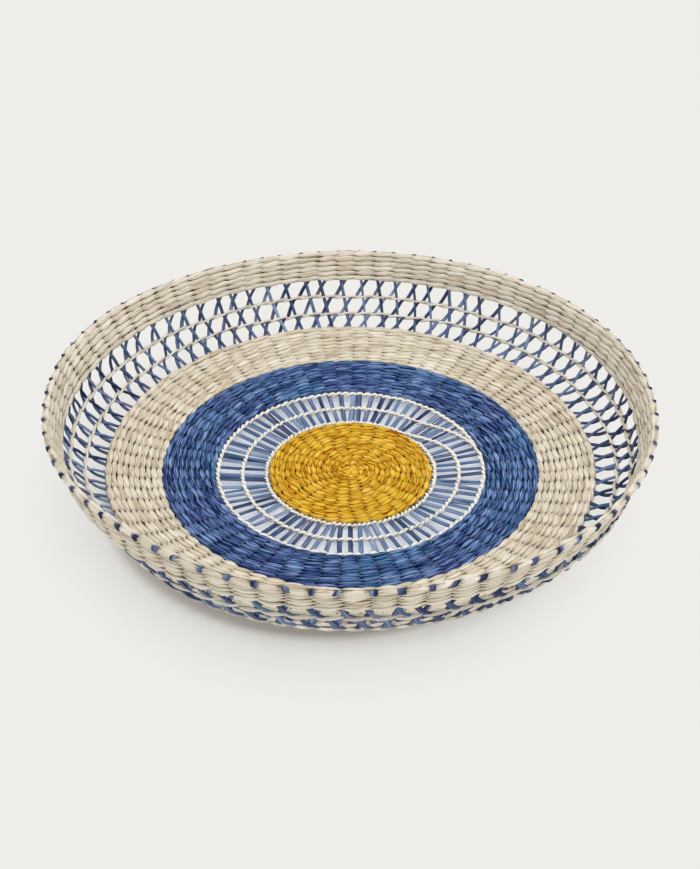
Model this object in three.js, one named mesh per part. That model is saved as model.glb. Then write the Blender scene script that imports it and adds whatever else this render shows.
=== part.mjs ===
// Seagrass basket: a shallow round bowl of twined seagrass with an open lattice wall.
// Units are millimetres, +Z is up, and the origin is on the table under the middle of the base.
// The front of the basket faces -Y, and angles run from the front towards +X.
import * as THREE from "three";

// Driving dimensions

// Bands from the middle of the base out to the rim's edge: the length of each one along the
// weave's middle surface, and the slope of that surface at its inner and outer edge in degrees.
const YELLOW_BAND = { length: 56.5, innerSlope: 0, outerSlope: 0 };
const OPEN_BAND = { length: 37.2, innerSlope: 5, outerSlope: 8 };
const BLUE_BAND = { length: 35.9, innerSlope: 8, outerSlope: 9 };
const NATURAL_BAND = { length: 38.3, innerSlope: 9, outerSlope: 21 };
const LATTICE_BAND = { length: 42.4, innerSlope: 17, outerSlope: 88 };
const RIM_BAND = { length: 23.2, innerSlope: 83, outerSlope: 66 };

// Twined rounds: each colour is one pair of strands that spirals outwards from its tucked-in end.
const WEAVE_THICKNESS = 5;
const RIM_THICKNESS = 4;
const YELLOW_ROUNDS = 14;
const BLUE_ROUNDS = 10;
const NATURAL_ROUNDS = 10;
const RIM_ROUNDS = 6;
const CENTRE_RADIUS = 6;
const ROUND_GAP = 0.45;
const TUCKED_END_WIDTH = 0.5;
const STEP_AZIMUTH = 100;

// Open band in the base: single stakes, with a twined cord of three turns over and under them.
const OPEN_STAKES = 72;
const OPEN_STAKE_GROUPS = 8;
const OPEN_STAKE_WIDTH = 2.8;
const OPEN_STAKE_THICKNESS = 0.8;
const OPEN_CORD_WIDTH = 2.8;
const OPEN_CORD_HEIGHT = 1.8;
const OPEN_CORD_TURNS = 2.98;
const OPEN_CORD_STEP = 0.12;

// Lattice wall: an inside and an outside layer of stakes that lean opposite ways and cross once in
// each row, held by two twined cords. The leans are the way round the bowl in one row, as a share
// of the spacing of the stakes.
const LATTICE_STAKES = 80;
const LATTICE_GROUPS = 8;
const LATTICE_ROWS = 3;
const LATTICE_INSIDE_LEAN = 0.25;
const LATTICE_OUTSIDE_LEAN = -0.75;
const LATTICE_STAKE_WIDTH = 2.6;
const LATTICE_STAKE_THICKNESS = 0.8;
const LATTICE_CROSSING_GAP = 0.6;
const LATTICE_CORD_DIAMETER = 2;

// Rim: the stake ends are folded over the last round and stand a little proud of it.
const STAKE_END_HEIGHT = 1.7;
const STAKE_END_VALLEY = 0.7;
const STAKE_END_TAPER = 0.8;

// Clearances and steps around the bowl
const CONTACT_GAP = 0.3;
const BASE_STEPS = 22;
const RIM_STEPS = 30;
const CORD_SIDES = 5;
const LATTICE_CORD_STEPS = 32;
const LATTICE_CORD_SIDES = 4;

// Colours of the dyed and natural seagrass
const NATURAL = new THREE.MeshStandardMaterial({ color: 0xd8c9a8, roughness: 0.85, metalness: 0 });
const CREAM = new THREE.MeshStandardMaterial({ color: 0xe8e0cc, roughness: 0.85, metalness: 0 });
const BLUE = new THREE.MeshStandardMaterial({ color: 0x34549a, roughness: 0.8, metalness: 0 });
const YELLOW = new THREE.MeshStandardMaterial({ color: 0xdca325, roughness: 0.8, metalness: 0 });

const HALF_WEAVE = WEAVE_THICKNESS / 2;
const HALF_RIM = RIM_THICKNESS / 2;
const FULL_TURN = 2 * Math.PI;

// Profile of the bowl: each band is an arc that starts where the last one ended.
const BANDS = [YELLOW_BAND, OPEN_BAND, BLUE_BAND, NATURAL_BAND, LATTICE_BAND, RIM_BAND];

function profileAt(band, length) {
  const first = THREE.MathUtils.degToRad(band.innerSlope);
  const last = THREE.MathUtils.degToRad(band.outerSlope);
  const turn = ((last - first) * length) / band.length;
  const chord = turn === 0 ? length : (length * Math.sin(turn / 2)) / (turn / 2);
  const radius = band.startRadius + chord * Math.cos(first + turn / 2);
  const height = band.startHeight + chord * Math.sin(first + turn / 2);
  return { radius, height, slope: first + turn };
}

function joinBands() {
  let edge = { radius: 0, height: HALF_WEAVE };
  let distance = 0;
  for (const band of BANDS) {
    band.start = distance;
    band.startRadius = edge.radius;
    band.startHeight = edge.height;
    edge = profileAt(band, band.length);
    distance += band.length;
    band.end = distance;
  }
}

joinBands();

function profileFromCentre(distance) {
  const band = BANDS.find((candidate) => distance <= candidate.end) ?? RIM_BAND;
  return profileAt(band, distance - band.start);
}

// A point of the bowl: its angle from the front, its distance from the centre along the middle
// surface, and its depth from that surface, positive towards the inside of the bowl.
function bowlPoint(angle, distance, depth) {
  const { radius, height, slope } = profileFromCentre(distance);
  const reach = radius - depth * Math.sin(slope);
  const z = height + depth * Math.cos(slope);
  return new THREE.Vector3(reach * Math.sin(angle), -reach * Math.cos(angle), z);
}

function signedVolume(points, triangles) {
  let volume = 0;
  for (let index = 0; index < triangles.length; index += 3) {
    const [a, b, c] = triangles.slice(index, index + 3).map((corner) => points[corner]);
    volume += a.dot(new THREE.Vector3().crossVectors(b, c)) / 6;
  }
  return volume;
}

// A closed solid through a row of sections with equal numbers of points. A ring joins the last
// section to the first, and anything else has flat ends.
function sweptSolid(sections, isRing) {
  const sides = sections[0].length;
  const spans = isRing ? sections.length : sections.length - 1;
  const triangles = [];
  for (let span = 0; span < spans; span += 1) {
    const near = span * sides;
    const far = ((span + 1) % sections.length) * sides;
    for (let side = 0; side < sides; side += 1) {
      const next = (side + 1) % sides;
      triangles.push(near + side, near + next, far + next);
      triangles.push(near + side, far + next, far + side);
    }
  }
  if (!isRing) {
    const end = (sections.length - 1) * sides;
    for (let corner = 1; corner < sides - 1; corner += 1) {
      triangles.push(0, corner + 1, corner);
      triangles.push(end, end + corner, end + corner + 1);
    }
  }
  const points = sections.flat();
  if (signedVolume(points, triangles) < 0) {
    triangles.reverse();
  }
  const geometry = new THREE.BufferGeometry().setFromPoints(points);
  geometry.setIndex(triangles);
  geometry.computeVertexNormals();
  return geometry;
}

// Least distance between points of a spiral that lie more than half a turn apart.
function leastGap(sections, stepsPerTurn) {
  let least = Infinity;
  for (let first = 0; first < sections.length; first += 1) {
    for (let second = first + Math.ceil(stepsPerTurn / 2); second < sections.length; second += 1) {
      for (const point of sections[first]) {
        for (const other of sections[second]) {
          least = Math.min(least, point.distanceTo(other));
        }
      }
    }
  }
  return least;
}

// How far the flat sides of a faceted round come in from its corners.
function facetInset(radius, steps) {
  return radius * (1 - Math.cos(Math.PI / steps));
}

function spiralAngle(turn) {
  return THREE.MathUtils.degToRad(STEP_AZIMUTH) - FULL_TURN * turn;
}

const basket = new THREE.Group();

function addPiece(name, geometry, material) {
  const piece = new THREE.Mesh(geometry, material);
  piece.name = name;
  basket.add(piece);
}

function addSpiral(name, sections, stepsPerTurn, material) {
  console.log(`${name}: least gap between its turns ${leastGap(sections, stepsPerTurn).toFixed(2)} mm`);
  addPiece(name, sweptSolid(sections, false), material);
}

// The crossed bundle of stakes in the middle of the base, as the disc that the first round goes round.
function addCentre() {
  const rings = [-HALF_WEAVE, HALF_WEAVE].map((depth) =>
    Array.from({ length: BASE_STEPS }, (_, step) =>
      bowlPoint(spiralAngle(step / BASE_STEPS), CENTRE_RADIUS, depth),
    ),
  );
  addPiece("centre_start", sweptSolid(rings, false), YELLOW);
}

// One colour of twining: an unbroken spiral whose first and last turn taper to a tucked-in end,
// so that the band keeps a level edge on both sides.
function addWeft(name, band, rounds, material, options = {}) {
  const { start = band.start, thickness = WEAVE_THICKNESS, stepsPerTurn = BASE_STEPS } = options;
  const { end } = band;
  const pitch = (end - start) / rounds;
  const tuckedTurn = (ROUND_GAP + TUCKED_END_WIDTH) / pitch;
  const firstStep = Math.ceil(tuckedTurn * stepsPerTurn);
  const lastStep = Math.floor((rounds + 1 - tuckedTurn) * stepsPerTurn);
  const sections = [];
  for (let step = firstStep; step <= lastStep; step += 1) {
    const turn = step / stepsPerTurn;
    const inner = Math.max(start, start + pitch * (turn - 1)) + ROUND_GAP / 2;
    const outer = Math.min(end, start + pitch * turn) - ROUND_GAP / 2;
    const angle = spiralAngle(turn);
    sections.push([
      bowlPoint(angle, inner, -thickness / 2),
      bowlPoint(angle, outer, -thickness / 2),
      bowlPoint(angle, outer, thickness / 2),
      bowlPoint(angle, inner, thickness / 2),
    ]);
  }
  addSpiral(name, sections, stepsPerTurn, material);
}

// A flat strip along a path of angle, distance and depth, with mitred bends.
function ribbonSolid(path, width, thickness) {
  const headings = path.slice(1).map((point, index) => {
    const from = path[index];
    const radius = profileFromCentre((from.distance + point.distance) / 2).radius;
    const across = (point.angle - from.angle) * radius;
    return new THREE.Vector2(across, point.distance - from.distance).normalize();
  });
  const sections = path.map((point, index) => {
    const before = headings[Math.max(index - 1, 0)];
    const after = headings[Math.min(index, headings.length - 1)];
    const mitre = new THREE.Vector2(-before.y - after.y, before.x + after.x).normalize();
    const reach = width / 2 / mitre.dot(new THREE.Vector2(-before.y, before.x));
    const { radius } = profileFromCentre(point.distance);
    const corner = (side, face) =>
      bowlPoint(
        point.angle + (side * reach * mitre.x) / radius,
        point.distance + side * reach * mitre.y,
        point.depth + (face * thickness) / 2,
      );
    return [corner(1, 1), corner(-1, 1), corner(-1, -1), corner(1, -1)];
  });
  return sweptSolid(sections, false);
}

// Stakes of the open band, in groups: each group runs out and back between the two woven bands,
// turning along their edges.
function addOpenStakes() {
  const inset = CONTACT_GAP + OPEN_STAKE_WIDTH / 2;
  const outerInset = inset + facetInset(BLUE_BAND.startRadius, BASE_STEPS);
  const ends = [OPEN_BAND.start + inset, OPEN_BAND.end - outerInset];
  const stakesInGroup = OPEN_STAKES / OPEN_STAKE_GROUPS;
  for (let group = 0; group < OPEN_STAKE_GROUPS; group += 1) {
    const path = [];
    for (let stake = 0; stake < stakesInGroup; stake += 1) {
      const angle = (FULL_TURN * (group * stakesInGroup + stake)) / OPEN_STAKES;
      const order = stake % 2 === 0 ? ends : [...ends].reverse();
      path.push(...order.map((distance) => ({ angle, distance, depth: 0 })));
    }
    const name = `open_stakes_${String(group + 1).padStart(2, "0")}`;
    addPiece(name, ribbonSolid(path, OPEN_STAKE_WIDTH, OPEN_STAKE_THICKNESS), BLUE);
  }
}

// The twined cord of the open band: one strand over the stakes and one under them, in three turns
// that keep their radius and step out to the next one at the same place.
function addOpenCord(name, side) {
  const inset = CONTACT_GAP + OPEN_CORD_WIDTH / 2;
  const first = OPEN_BAND.start + inset;
  const last = OPEN_BAND.end - inset;
  const rings = [first, (first + last) / 2, last, last];
  const depth = side * (OPEN_STAKE_THICKNESS / 2 + CONTACT_GAP + OPEN_CORD_HEIGHT / 2);
  const sections = [];
  for (let step = 0; step <= OPEN_CORD_TURNS * BASE_STEPS; step += 1) {
    const turn = step / BASE_STEPS;
    const ring = Math.floor(turn);
    const moved = THREE.MathUtils.smoothstep(turn - ring, 1 - OPEN_CORD_STEP, 1);
    const distance = THREE.MathUtils.lerp(rings[ring], rings[ring + 1], moved);
    const angle = spiralAngle(turn);
    sections.push(cordSection(angle, distance, depth, OPEN_CORD_WIDTH, OPEN_CORD_HEIGHT, CORD_SIDES));
  }
  addSpiral(name, sections, BASE_STEPS, CREAM);
}

function cordSection(angle, distance, depth, width, height, sides) {
  return Array.from({ length: sides }, (_, side) => {
    const around = (FULL_TURN * side) / sides;
    const across = (width / 2) * Math.cos(around);
    const through = (height / 2) * Math.sin(around);
    return bowlPoint(angle, distance + across, depth + through);
  });
}

// One layer of lattice stakes, in groups: each group runs up and down between the woven bands,
// turning along their edges.
function addLatticeLayer(layer, foot, lean, depth) {
  const inset = CONTACT_GAP + LATTICE_STAKE_WIDTH / 2;
  const bottom = LATTICE_BAND.start + inset;
  const rowLength = (LATTICE_BAND.length - 2 * inset) / LATTICE_ROWS;
  const spacing = FULL_TURN / LATTICE_STAKES;
  const stakesInGroup = LATTICE_STAKES / LATTICE_GROUPS;
  for (let group = 0; group < LATTICE_GROUPS; group += 1) {
    const path = [];
    for (let stake = 0; stake < stakesInGroup; stake += 1) {
      const place = group * stakesInGroup + stake + foot;
      const points = Array.from({ length: LATTICE_ROWS + 1 }, (_, row) => ({
        angle: spacing * (place + lean * row),
        distance: bottom + row * rowLength,
        depth,
      }));
      path.push(...(stake % 2 === 0 ? points : points.reverse()));
    }
    const name = `lattice_stakes_${layer}_${String(group + 1).padStart(2, "0")}`;
    addPiece(name, ribbonSolid(path, LATTICE_STAKE_WIDTH, LATTICE_STAKE_THICKNESS), BLUE);
  }
}

// The outside stakes start half a space along from the inside ones, so that they cross mid-row.
function addLatticeStakes() {
  const depth = (LATTICE_STAKE_THICKNESS + LATTICE_CROSSING_GAP) / 2;
  addLatticeLayer("inside", 0, LATTICE_INSIDE_LEAN, depth);
  addLatticeLayer("outside", 0.5, LATTICE_OUTSIDE_LEAN, -depth);
}

// Twined cords between the lattice rows: one strand inside the stakes and one outside them.
function addLatticeCords() {
  const stakesDepth = LATTICE_STAKE_THICKNESS + LATTICE_CROSSING_GAP / 2;
  const clear = stakesDepth + CONTACT_GAP + LATTICE_CORD_DIAMETER / 2;
  const heights = ["lower", "upper"];
  heights.forEach((height, index) => {
    const distance = LATTICE_BAND.start + (LATTICE_BAND.length * (index + 1)) / LATTICE_ROWS;
    const flat = facetInset(profileFromCentre(distance).radius, LATTICE_CORD_STEPS);
    const depths = { inside: clear, outside: -clear - flat };
    for (const [side, depth] of Object.entries(depths)) {
      const sections = Array.from({ length: LATTICE_CORD_STEPS }, (_, step) =>
        cordSection(
          (FULL_TURN * step) / LATTICE_CORD_STEPS,
          distance,
          depth,
          LATTICE_CORD_DIAMETER,
          LATTICE_CORD_DIAMETER,
          LATTICE_CORD_SIDES,
        ),
      );
      addPiece(`lattice_cord_${height}_${side}`, sweptSolid(sections, true), NATURAL);
    }
  });
}

// The row of folded stake ends along the rim's edge: a peak over each stake, a valley in between.
function addRimStakeEnds() {
  const bottom = RIM_BAND.end + CONTACT_GAP;
  const sections = Array.from({ length: 2 * LATTICE_STAKES }, (_, step) => {
    const angle = (FULL_TURN * step) / (2 * LATTICE_STAKES);
    const top = bottom + (step % 2 === 0 ? STAKE_END_HEIGHT : STAKE_END_VALLEY);
    return [
      bowlPoint(angle, bottom, -HALF_RIM),
      bowlPoint(angle, bottom, HALF_RIM),
      bowlPoint(angle, top, STAKE_END_TAPER * HALF_RIM),
      bowlPoint(angle, top, -STAKE_END_TAPER * HALF_RIM),
    ];
  });
  addPiece("rim_stake_ends", sweptSolid(sections, true), BLUE);
}

addCentre();
addWeft("yellow_weft", YELLOW_BAND, YELLOW_ROUNDS, YELLOW, { start: CENTRE_RADIUS });
addOpenStakes();
addOpenCord("open_cord_upper", 1);
addOpenCord("open_cord_lower", -1);
addWeft("blue_weft", BLUE_BAND, BLUE_ROUNDS, BLUE);
addWeft("natural_weft", NATURAL_BAND, NATURAL_ROUNDS, NATURAL);
addLatticeStakes();
addLatticeCords();
addWeft("rim_weft", RIM_BAND, RIM_ROUNDS, NATURAL, { thickness: RIM_THICKNESS, stepsPerTurn: RIM_STEPS });
addRimStakeEnds();

export default basket;
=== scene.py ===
"""Twines the seagrass basket over its solid model and sets it in a plain studio."""

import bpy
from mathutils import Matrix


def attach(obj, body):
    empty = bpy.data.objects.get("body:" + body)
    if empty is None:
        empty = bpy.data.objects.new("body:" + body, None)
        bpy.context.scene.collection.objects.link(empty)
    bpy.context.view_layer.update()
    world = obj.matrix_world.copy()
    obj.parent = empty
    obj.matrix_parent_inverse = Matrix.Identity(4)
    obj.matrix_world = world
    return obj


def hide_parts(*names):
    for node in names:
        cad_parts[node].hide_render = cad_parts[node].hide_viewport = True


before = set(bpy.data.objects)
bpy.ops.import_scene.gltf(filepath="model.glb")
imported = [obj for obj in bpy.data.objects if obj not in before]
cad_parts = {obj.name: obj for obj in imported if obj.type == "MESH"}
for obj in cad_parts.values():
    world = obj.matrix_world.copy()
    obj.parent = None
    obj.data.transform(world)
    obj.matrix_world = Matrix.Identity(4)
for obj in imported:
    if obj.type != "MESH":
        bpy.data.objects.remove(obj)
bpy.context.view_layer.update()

import math
from typing import NamedTuple

import bpy
import numpy as np
from bpy.props import FloatProperty, FloatVectorProperty, IntProperty, PointerProperty
from bpy.types import Operator, Panel, PropertyGroup

bl_info = {
    "name": "Twined Seagrass Basket",
    "version": (1, 0, 0),
    "blender": (4, 5, 0),
    "location": "3D View > Sidebar > Basket",
    "description": "Twines a shallow seagrass basket and sets it in a plain studio",
    "category": "Object",
}

BODY = "root"
TURN = 2 * math.pi

# The bands from the centre outwards, as the solids have them:
# length along the weave in metres, slope at the inner edge and at the outer edge in degrees
BANDS = {
    "yellow": (0.0565, 0, 0),
    "open": (0.0372, 5, 8),
    "blue": (0.0359, 8, 9),
    "natural": (0.0383, 9, 21),
    "lattice": (0.0424, 17, 88),
    "rim": (0.0232, 83, 66),
}
CENTRE_RADIUS = 0.006
MIDDLE_HEIGHT = 0.0025
STEP_ANGLE = math.radians(100)
FLOOR_CLEARANCE = 0.00005

# Where hands pulled the wall out of round: angle from the front and reach of the pull in degrees,
# and how far out it goes, in metres: more in the middle of the lattice, at the foot of the rim
# and at the rim's edge
PULLS = (
    (0, 48, 0.0, -0.0034, -0.0006),
    (42, 26, 0.0, 0.0006, 0.0014),
    (98, 30, 0.0, -0.0006, -0.0008),
    (180, 40, 0.0, -0.0004, -0.0008),
    (245, 25, 0.0, 0.0006, 0.0045),
    (308, 17, -0.0068, -0.0008, -0.0008),
    (321, 16, 0.0, 0.0, -0.0036),
)

COLOUR_PARTS = {
    "pale": "Palest fibre",
    "main": "Main colour",
    "deep": "Deepest fibre",
    "first_tint": "Tint of the stitches whose dye leans one way",
    "second_tint": "Tint of the stitches whose dye leans the other way",
}


def count_of(name, description, default):
    """A whole number of rounds, stitches or strips."""
    return IntProperty(name=name, description=description, default=default, min=1)


def metres(name, description, default):
    """A size in metres."""
    kind = {"unit": "LENGTH", "subtype": "DISTANCE", "precision": 5}
    return FloatProperty(name=name, description=description, default=default, min=0.0, **kind)


def factor(name, description, default, highest=1.0):
    """A plain number from 0 upwards."""
    kind = {"max": highest, "subtype": "FACTOR"}
    return FloatProperty(name=name, description=description, default=default, min=0.0, **kind)


def colour_property(name, description, red, green, blue):
    """A colour as it is seen on a screen, kept in the linear values that Blender mixes."""
    seen = np.array((red, green, blue)) / 255
    linear = np.where(seen <= 0.04045, seen / 12.92, ((seen + 0.055) / 1.055) ** 2.4)
    default = tuple(linear.tolist())
    return FloatVectorProperty(
        name=name, description=description, default=default, size=3, min=0.0, max=1.0, subtype="COLOR"
    )


def strand_colours(kind, **colours):
    """The colours of one kind of strand, as settings."""
    return {
        f"{kind}_{part}": colour_property(f"{kind} {part}".replace("_", " "), COLOUR_PARTS[part], *colour)
        for part, colour in colours.items()
    }


class WeaveSizes(PropertyGroup):
    """Rounds, stitches and strands of the twined bands and cords."""

    yellow_rounds: count_of("Yellow rounds", "Rounds of the yellow middle", 14)
    blue_rounds: count_of("Blue rounds", "Rounds of the blue band", 10)
    natural_rounds: count_of("Natural rounds", "Rounds of the natural band", 10)
    rim_rounds: count_of("Rim rounds", "Rounds of the rim", 6)
    yellow_stitches: count_of("Yellow stitches", "Most stitches in a round of the yellow middle", 34)
    blue_stitches: count_of("Blue stitches", "Stitches in a round of the blue band", 61)
    natural_stitches: count_of("Natural stitches", "Stitches in a round of the natural band", 75)
    rim_stitches: count_of("Rim stitches", "Stitches in a round of the rim", 80)
    weave_thickness: metres("Weave thickness", "Thickness of the twined bands", 0.0048)
    rim_thickness: metres("Rim thickness", "Thickness of the twined rim", 0.0039)
    cord_width: metres("Cord width", "Width of a stitch of the cream cord", 0.0024)
    cord_thickness: metres("Cord thickness", "Thickness of a cream cord strand", 0.0012)
    lattice_cord_width: metres("Lattice cord width", "Width of a lattice cord stitch", 0.0017)
    lattice_cord_wander: metres("Lattice cord wander", "How far the lattice cords wander", 0.0009)
    unevenness: factor("Unevenness", "How much hand twining varies from stitch to stitch", 1.0, 3.0)


class StakeSizes(PropertyGroup):
    """Flat blue strips that stand in the open band, the lattice and the rim."""

    open_count: count_of("Open stakes", "Strips in the open band", 72)
    open_width: metres("Open stake width", "Width of a strip in the open band", 0.0032)
    open_thickness: metres("Open stake thickness", "Thickness of an open band strip", 0.0008)
    lattice_count: count_of("Lattice strips", "Strips in each layer of the lattice", 80)
    lattice_width: metres("Lattice strip width", "Width of a lattice strip", 0.0023)
    lattice_thickness: metres("Lattice strip thickness", "Thickness of a lattice strip", 0.0016)
    inside_lean: factor("Inside lean", "Way round in one row, in strips, of the inside layer", 0.25)
    outside_lean: factor("Outside lean", "Way back in one row, in strips, outside", 0.75)
    lattice_drift: factor("Lattice drift", "How far a row strays round the wall, in strips", 0.09)
    tip_width: metres("Tip width", "Width of a strip's end over the rim", 0.0036)
    tip_thickness: metres("Tip thickness", "Thickness of a strip's end over the rim", 0.0010)


class StrandColours(PropertyGroup):
    """Pale, main and deep colour and two tints of each kind of strand, as they are seen on a screen."""

    __annotations__ = {
        **strand_colours(
            "yellow", pale=(250, 208, 96), main=(230, 187, 38), deep=(158, 79, 0),
            first_tint=(222, 186, 56), second_tint=(210, 146, 30),
        ),
        **strand_colours(
            "blue", pale=(146, 174, 216), main=(64, 91, 147), deep=(8, 26, 68),
            first_tint=(64, 124, 172), second_tint=(68, 70, 142),
        ),
        **strand_colours(
            "stake", pale=(154, 170, 200), main=(88, 106, 146), deep=(34, 44, 80),
            first_tint=(104, 142, 176), second_tint=(100, 96, 120),
        ),
        **strand_colours(
            "natural", pale=(248, 240, 224), main=(224, 215, 197), deep=(168, 144, 106),
            first_tint=(212, 206, 172), second_tint=(222, 202, 180),
        ),
        **strand_colours(
            "cord", pale=(244, 240, 228), main=(226, 219, 203), deep=(178, 168, 146),
            first_tint=(206, 206, 182), second_tint=(216, 198, 180),
        ),
        **strand_colours(
            "cream", pale=(252, 249, 240), main=(239, 236, 227), deep=(192, 187, 172),
            first_tint=(232, 232, 206), second_tint=(236, 224, 212),
        ),
    }


class StudioSettings(PropertyGroup):
    """Camera, floor and light."""

    floor_colour: colour_property("Floor", "Colour of the floor", 238, 237, 233)
    # Painted blue light from the strips, on the floor in the gaps of the open band
    painted_gap_light: colour_property("Gaps", "Colour of the floor in the gaps of the open band", 226, 233, 246)
    floor_glow: factor("Floor glow", "How much the floor's colour is freed from shade", 1.0)
    sky_strength: factor("Sky", "Strength of the even light from all around", 0.72, 4.0)
    key_power: FloatProperty(
        name="Key", description="Power of the large lamp overhead", default=12.5, min=0.0, unit="POWER"
    )
    lens: FloatProperty(name="Lens", description="Focal length in millimetres", default=45.14, min=1.0)
    camera_height: FloatProperty(
        name="Camera height",
        description="Angle of the camera above the floor",
        default=math.radians(35.52),
        unit="ROTATION",
        subtype="ANGLE",
    )
    camera_distance: metres("Camera distance", "Camera to the middle of the basket", 0.7408)
    aim_height: metres("Aim height", "Height of the point that the camera looks at", 0.03417)


def along_arc(length, inner, outer, travelled):
    """How far out and up a bowed band has gone, and its slope there."""
    bend = (outer - inner) * travelled / length
    chord = travelled * np.sinc(bend / TURN)
    return chord * np.cos(inner + bend / 2), chord * np.sin(inner + bend / 2), inner + bend


def band_corners():
    """Distance, reach and height at which each band starts."""
    distance, reach, height = 0.0, 0.0, MIDDLE_HEIGHT
    corners = []
    for length, inner, outer in ARCS:
        corners.append((distance, reach, height))
        out, up, _ = along_arc(length, inner, outer, length)
        distance, reach, height = distance + length, reach + out, height + up
    return np.array(corners)


ARCS = np.array([(size, math.radians(inner), math.radians(outer)) for size, inner, outer in BANDS.values()])
CORNERS = band_corners()


def band_length(band):
    """Length of a band along the weave, from its inner edge to its outer edge."""
    return BANDS[band][0]


def band_start(band):
    """Distance from the centre, along the weave, at which a band starts."""
    return float(CORNERS[list(BANDS).index(band), 0])


def band_end(band):
    """Distance from the centre, along the weave, at which a band ends."""
    return band_start(band) + band_length(band)


def ease(share):
    """From 0 to 1 with a soft start and end."""
    share = np.clip(share, 0, 1)
    return share * share * (3 - 2 * share)


def bump(angle, middle, reach):
    """From 1 at a place round the basket down to 0 away from it."""
    away = (angle - middle + math.pi) % TURN - math.pi
    return np.exp(-((away / reach) ** 2))


def changed_around(angle, level, *changes):
    """A value round the basket: its level, and by how much it changes around some places,
    each with its angle from the front in degrees and its reach in radians."""
    for change, place, reach in changes:
        level = level + change * bump(angle, math.radians(place), reach)
    return level


def waves(angle, *each):
    """A sum of waves round the basket, each with its size, its count and its phase."""
    return sum(size * np.sin(count * angle + phase) for size, count, phase in each)


def profile(distance):
    """Reach, height and slope of the middle of the weave at a distance from the centre."""
    band = np.clip(np.searchsorted(CORNERS[:, 0], distance, side="right") - 1, 0, len(BANDS) - 1)
    out, up, slope = along_arc(*ARCS[band].T, distance - CORNERS[band, 0])
    return CORNERS[band, 1] + out, CORNERS[band, 2] + up, slope


def out_of_round(angle, distance):
    """How far the wall is pulled outwards, growing from the natural band to the rim."""
    start, foot = band_start("natural"), band_end("lattice")
    rise = ease((distance - start) / (foot - start))
    over = ease((distance - foot) / band_length("rim"))
    climbed = np.clip((distance - foot) / band_length("lattice") + 1, 0, 1)
    arched = 4 * climbed * (1 - climbed)
    pulled = np.zeros_like(angle)
    for place, reach, in_lattice, at_foot, at_edge in PULLS:
        here = rise * (at_foot + (at_edge - at_foot) * over) + arched * in_lattice
        pulled = pulled + here * bump(angle, math.radians(place), math.radians(reach))
    return pulled


def on_bowl(angle, distance, depth):
    """Points on the bowl. Depth is measured from the middle of the weave towards the inside."""
    reach, height, slope = profile(distance)
    reach = reach - depth * np.sin(slope) + out_of_round(angle, distance)
    height = np.maximum(height + depth * np.cos(slope), FLOOR_CLEARANCE)
    return np.column_stack((reach * np.sin(angle), -reach * np.cos(angle), height))


# Sides of the section of every strand and strip
SIDES = 8


def turn_selected(angle, axis):
    """Turns the selected points about the origin."""
    bpy.ops.transform.rotate(value=angle, orient_axis=axis, center_override=(0, 0, 0))


def add_ring(name):
    """A ring of points across the X axis with a flat top and bottom, left selected in edit mode."""
    bpy.ops.mesh.primitive_circle_add(vertices=SIDES, radius=1, rotation=(0, math.pi / 2, 0))
    ring = bpy.context.object
    ring.name = name
    ring.data.name = name
    bpy.ops.object.transform_apply(location=False, rotation=True, scale=False)
    bpy.ops.object.mode_set(mode="EDIT")
    bpy.ops.mesh.select_all(action="SELECT")
    turn_selected(math.pi / SIDES, "X")
    return ring


def draw_out(middles, halves):
    """Extrudes the selected ring along a line of middles, with half a width and thickness at each."""
    bpy.ops.transform.resize(value=(1, *halves[0]), center_override=(0, 0, 0))
    bpy.ops.transform.translate(value=tuple(middles[0]))
    for step in range(1, len(middles)):
        move = middles[step] - middles[step - 1]
        grow = halves[step] / halves[step - 1]
        bpy.ops.mesh.extrude_region_move(TRANSFORM_OT_translate={"value": tuple(move)})
        bpy.ops.transform.resize(value=(1, *grow), center_override=tuple(middles[step]))


def draw_straight(places, half_width, half_thickness):
    """Extrudes the selected ring along the X axis without a change of section."""
    middles = np.column_stack((places, 0 * places, 0 * places))
    draw_out(middles, np.tile((half_width, half_thickness), (len(places), 1)))


def repeat(shape, count, offset, merge):
    """Lays copies of a shape in a row along the X axis, all in the one mesh."""
    row = shape.modifiers.new("Row", "ARRAY")
    row.count = count
    row.use_relative_offset = False
    row.use_constant_offset = True
    row.constant_offset_displace = (offset, 0, 0)
    row.use_merge_vertices = merge
    row.merge_threshold = 0.00001
    bpy.ops.object.modifier_apply(modifier=row.name)


def close_ends():
    """Fills the open ends of the tubes and turns all faces outwards."""
    bpy.ops.object.mode_set(mode="EDIT")
    bpy.ops.mesh.select_all(action="DESELECT")
    bpy.ops.mesh.select_non_manifold()
    bpy.ops.mesh.fill_holes(sides=0)
    bpy.ops.mesh.select_all(action="SELECT")
    bpy.ops.mesh.normals_make_consistent(inside=False)
    bpy.ops.object.mode_set(mode="OBJECT")


def read_points(piece):
    """The points of a mesh as rows of x, y and z."""
    points = np.empty(len(piece.data.vertices) * 3, np.float32)
    piece.data.vertices.foreach_get("co", points)
    return points.reshape(-1, 3).astype(float)


def write_points(piece, points):
    """Moves the points of a mesh."""
    piece.data.vertices.foreach_set("co", points.astype(np.float32).ravel())
    piece.data.update()


def read_values(piece, name):
    """A number kept at each point."""
    values = np.empty(len(piece.data.vertices), np.float32)
    piece.data.attributes[name].data.foreach_get("value", values)
    return values.astype(float)


def write_values(piece, name, values):
    """Keeps a number at each point, for the bending or the material to read."""
    kept = piece.data.attributes.new(name, "FLOAT", "POINT")
    kept.data.foreach_set("value", np.asarray(values, np.float32))


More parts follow.
